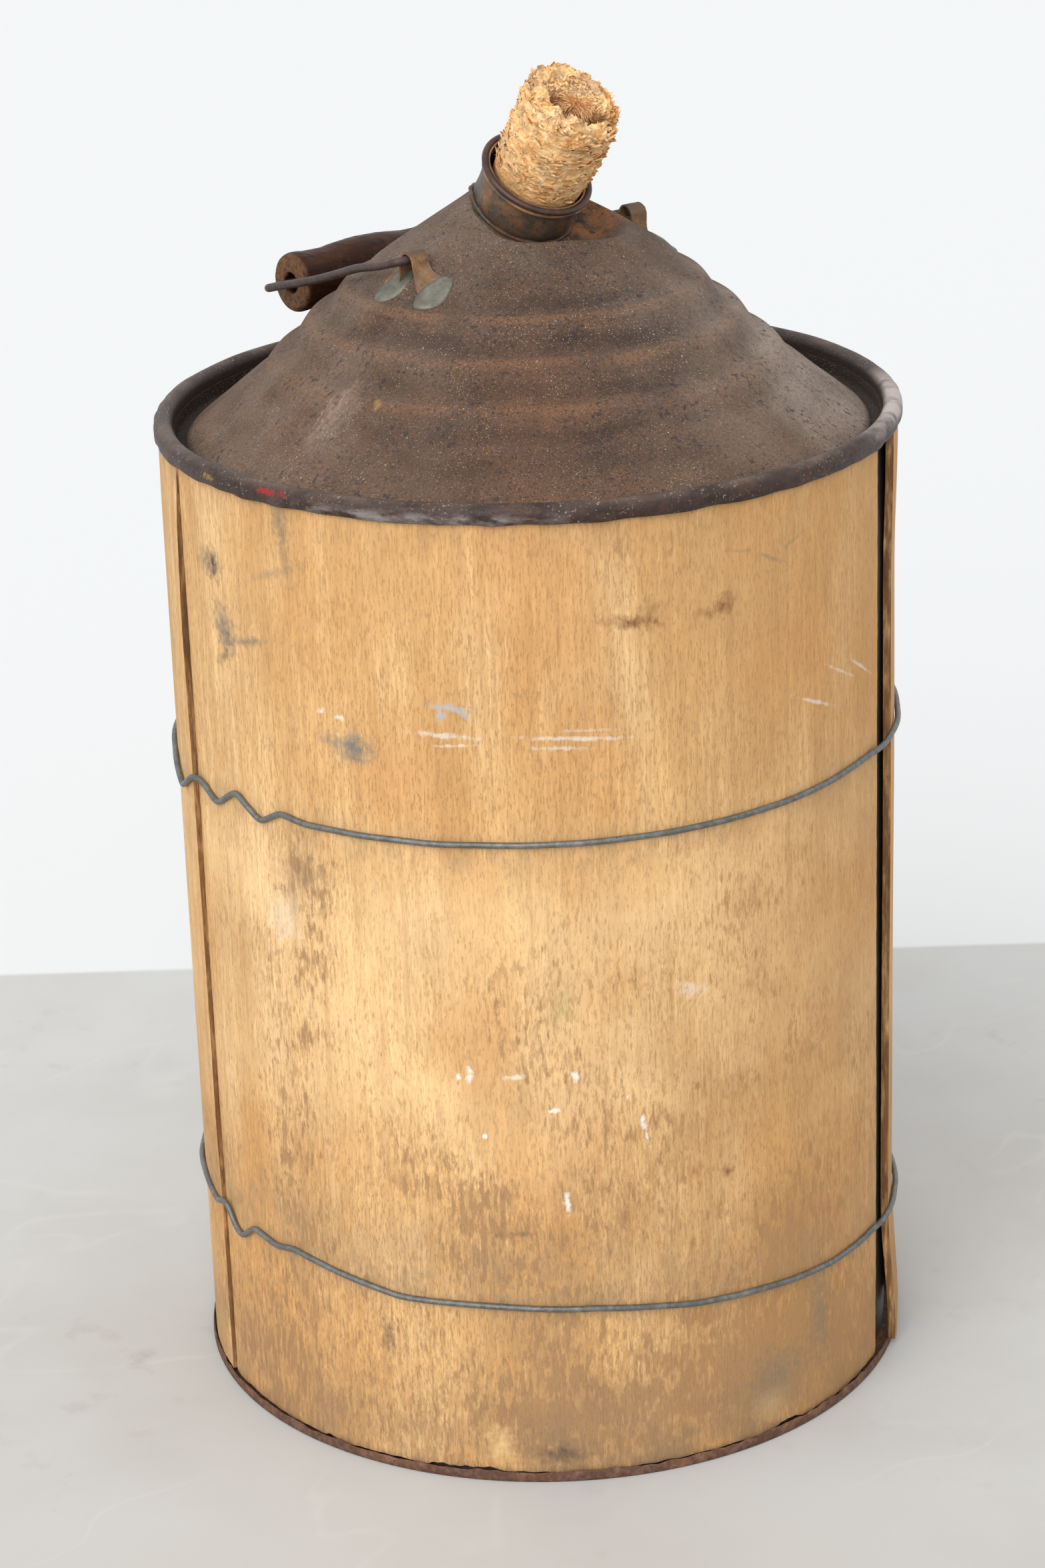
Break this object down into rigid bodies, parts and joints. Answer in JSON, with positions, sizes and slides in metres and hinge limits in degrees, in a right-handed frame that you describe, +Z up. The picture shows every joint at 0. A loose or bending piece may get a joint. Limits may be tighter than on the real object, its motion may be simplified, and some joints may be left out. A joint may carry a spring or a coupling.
{
  "type": "oil can",
  "caption": "Round wood-jacketed oil can with a stepped cone breast, tilted pouring neck, corn cob stopper, binding wires and a swinging wire bail with a turned grip.",
  "frame": {"origin": "centre of the standing edge of the bottom hoop", "axes": "+Z up the can's axis; -Y is the side the neck leans to and the oil pours from; X is parallel to the bail's pivot"},
  "size_m": [0.2838, 0.2838, 0.5104],
  "materials": {
    "tank_tinplate": "dull tinplate, spotted with rust",
    "solder": "dull grey-green tin and lead solder",
    "bottom_hoop_iron": "red-brown rust",
    "top_hoop_iron": "dark brown oxide, worn bright along the front",
    "breast_iron": "matte brown rust under pale dust",
    "neck_iron": "dark brown iron with orange and green patches",
    "lip_iron": "smooth dark iron",
    "ear_iron": "orange rust",
    "bail_iron": "dark purple-brown iron",
    "grip_wood": "worn dark varnish with bare end grain",
    "corn_cob": "dry straw-coloured chaff",
    "veneer": "bare honey-coloured veneer, dirty towards the bottom",
    "binding_iron": "grey drawn wire"
  },
  "bodies": {
    "can": {"tank_shell": "tank_tinplate", "tank_bottom": "tank_tinplate", "tank_seam_solder": "solder", "bottom_seam_solder": "solder", "neck_solder": "solder", "ear_left_solder": "solder", "ear_right_solder": "solder", "bottom_hoop": "bottom_hoop_iron", "top_hoop": "top_hoop_iron", "cone_top": "breast_iron", "neck_tube": "neck_iron", "neck_lip_wire": "lip_iron", "ear_left": "ear_iron", "ear_right": "ear_iron", "jacket_front": "veneer", "jacket_right": "veneer", "jacket_back": "veneer", "binding_wire_upper": "binding_iron", "binding_wire_lower": "binding_iron"},
    "bail": {"bail_wire": "bail_iron"},
    "grip": {"bail_grip": "grip_wood"},
    "stopper": {"cob_stopper": "corn_cob"}
  },
  "joints": [
    {"name": "bail_pivot", "type": "hinge", "parent": "can", "child": "bail", "pos_m": [0, -0.002, 0.4465], "axis": [1, 0, 0], "range_deg": [0, 213]},
    {"name": "grip_spin", "type": "hinge", "parent": "bail", "child": "grip", "pos_m": [0, 0.0968, 0.4181], "axis": [1, 0, 0], "continuous": true},
    {"name": "stopper_pull", "type": "slide", "parent": "can", "child": "stopper", "axis": [0, -0.5764, 0.8171], "range_m": [0, 0.07]}
  ]
}
